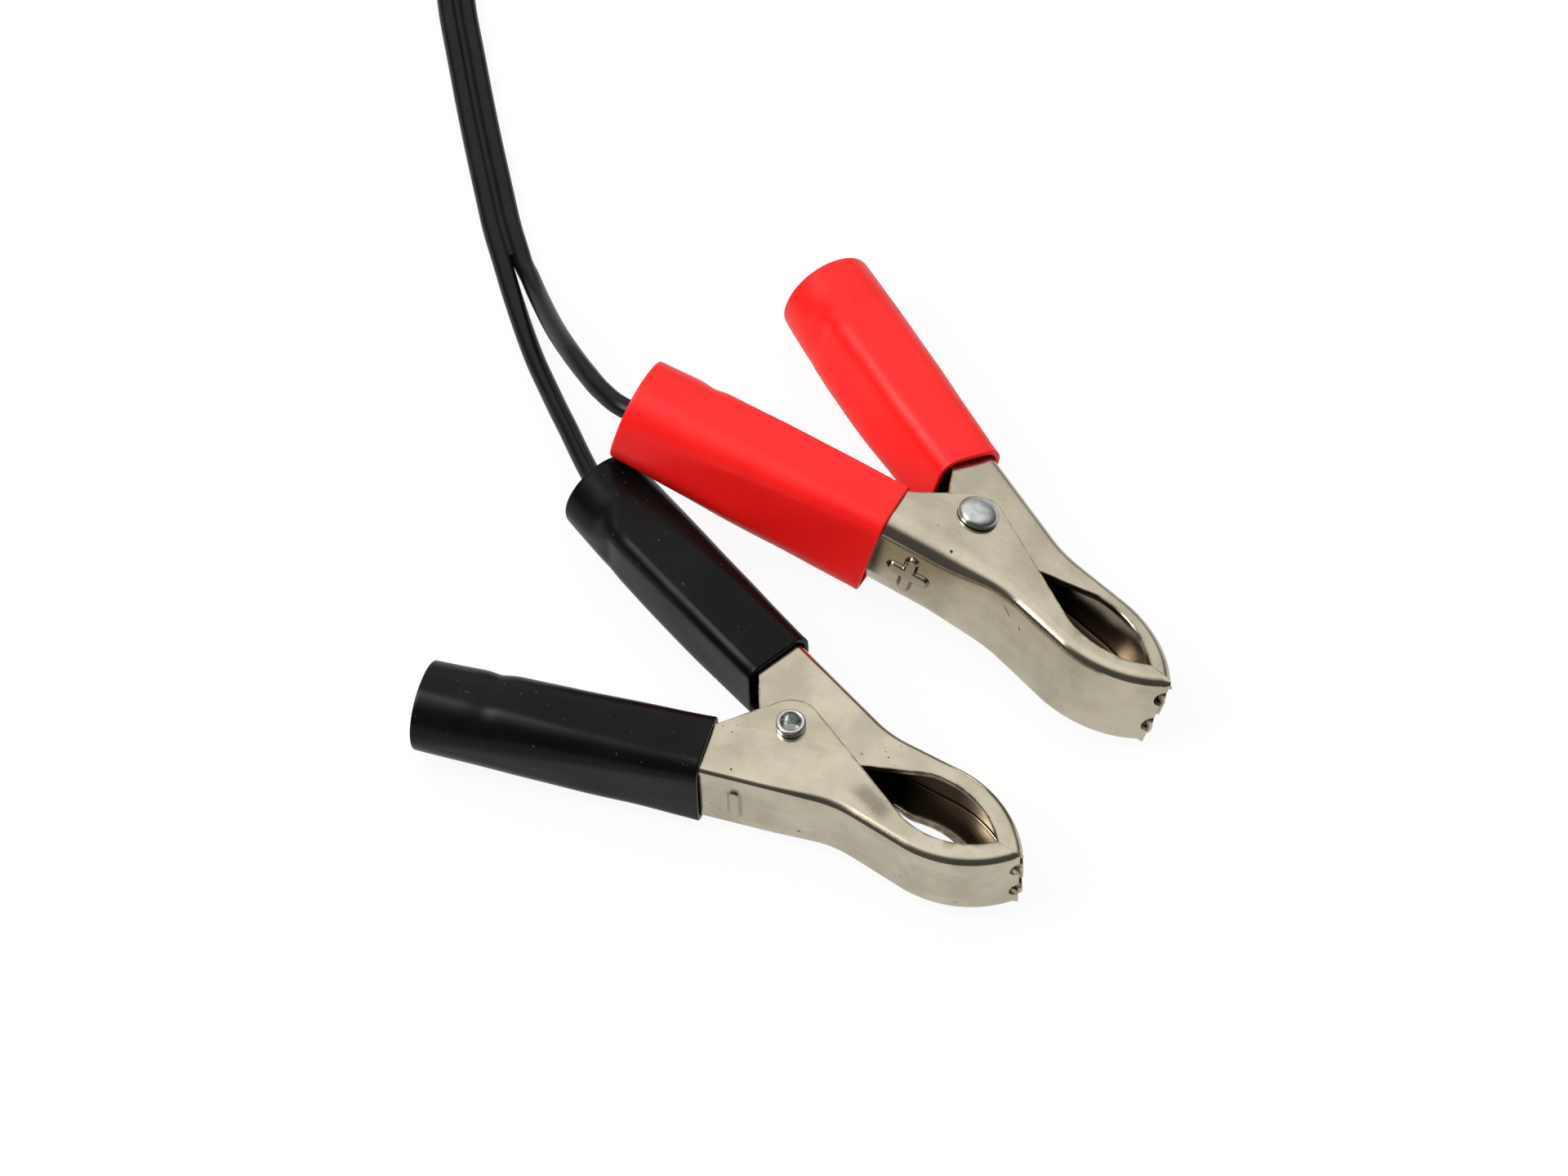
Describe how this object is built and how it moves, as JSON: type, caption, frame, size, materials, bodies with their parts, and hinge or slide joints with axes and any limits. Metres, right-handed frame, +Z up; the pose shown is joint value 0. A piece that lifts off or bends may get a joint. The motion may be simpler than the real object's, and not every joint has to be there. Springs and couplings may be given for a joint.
{
  "type": "battery clip lead",
  "caption": "Sprung crocodile clips in black and red sleeves on a twin lead that splits into two cores, for joining a battery charger to a car battery.",
  "frame": {"origin": "middle of the box round the two clips, without the lead, at the level of the bench", "axes": "+X from the handles towards the clips' noses, +Y from the black clip to the red clip, +Z up"},
  "size_m": [0.167, 0.1872, 0.0246],
  "materials": {
    "nickel_steel": "bright nickel plate, warm in tone",
    "zinc_steel": "bright zinc plate, bluish",
    "spring_steel": "drawn wire",
    "tinned_metal": "tin plate",
    "copper": "bare copper strands",
    "brass": "bright",
    "red_vinyl": "soft PVC, satin gloss",
    "black_vinyl": "soft PVC, gloss",
    "cord_vinyl": "PVC cord covering, satin"
  },
  "bodies": {
    "lead": {"black_inner_jaw": "nickel_steel", "black_inner_grip": "black_vinyl", "black_rivet": "zinc_steel", "black_spring": "spring_steel", "black_ferrule": "tinned_metal", "black_conductor": "copper", "red_outer_jaw": "nickel_steel", "red_outer_grip": "red_vinyl", "red_rivet": "zinc_steel", "red_spring": "spring_steel", "red_ferrule": "tinned_metal", "red_conductor": "copper", "black_leg": "cord_vinyl", "red_leg": "cord_vinyl", "twin_lead": "cord_vinyl", "lead_coil": "cord_vinyl", "lead_tie": "black_vinyl", "connector_boot": "black_vinyl", "connector_body": "black_vinyl", "connector_pin": "brass", "connector_socket": "brass"},
    "black_outer_half": {"black_outer_jaw": "nickel_steel", "black_outer_grip": "black_vinyl"},
    "red_inner_half": {"red_inner_jaw": "nickel_steel", "red_inner_grip": "red_vinyl"}
  },
  "joints": [
    {"name": "black_clip_hinge", "type": "hinge", "parent": "lead", "child": "black_outer_half", "pos_m": [0.00628, -0.01835, 0.00722], "axis": [0.0147, 0.0119, -0.9998], "range_deg": [0, 32], "stiffness_Nm_per_rad": 0.25, "springref_deg": -34.38, "deforming": ["black_spring"]},
    {"name": "red_clip_hinge", "type": "hinge", "parent": "lead", "child": "red_inner_half", "pos_m": [0.00513, 0.01865, 0.00894], "axis": [0.1045, 0.3007, 0.948], "range_deg": [0, 32], "stiffness_Nm_per_rad": 0.25, "springref_deg": -34.38, "deforming": ["red_spring"]}
  ]
}
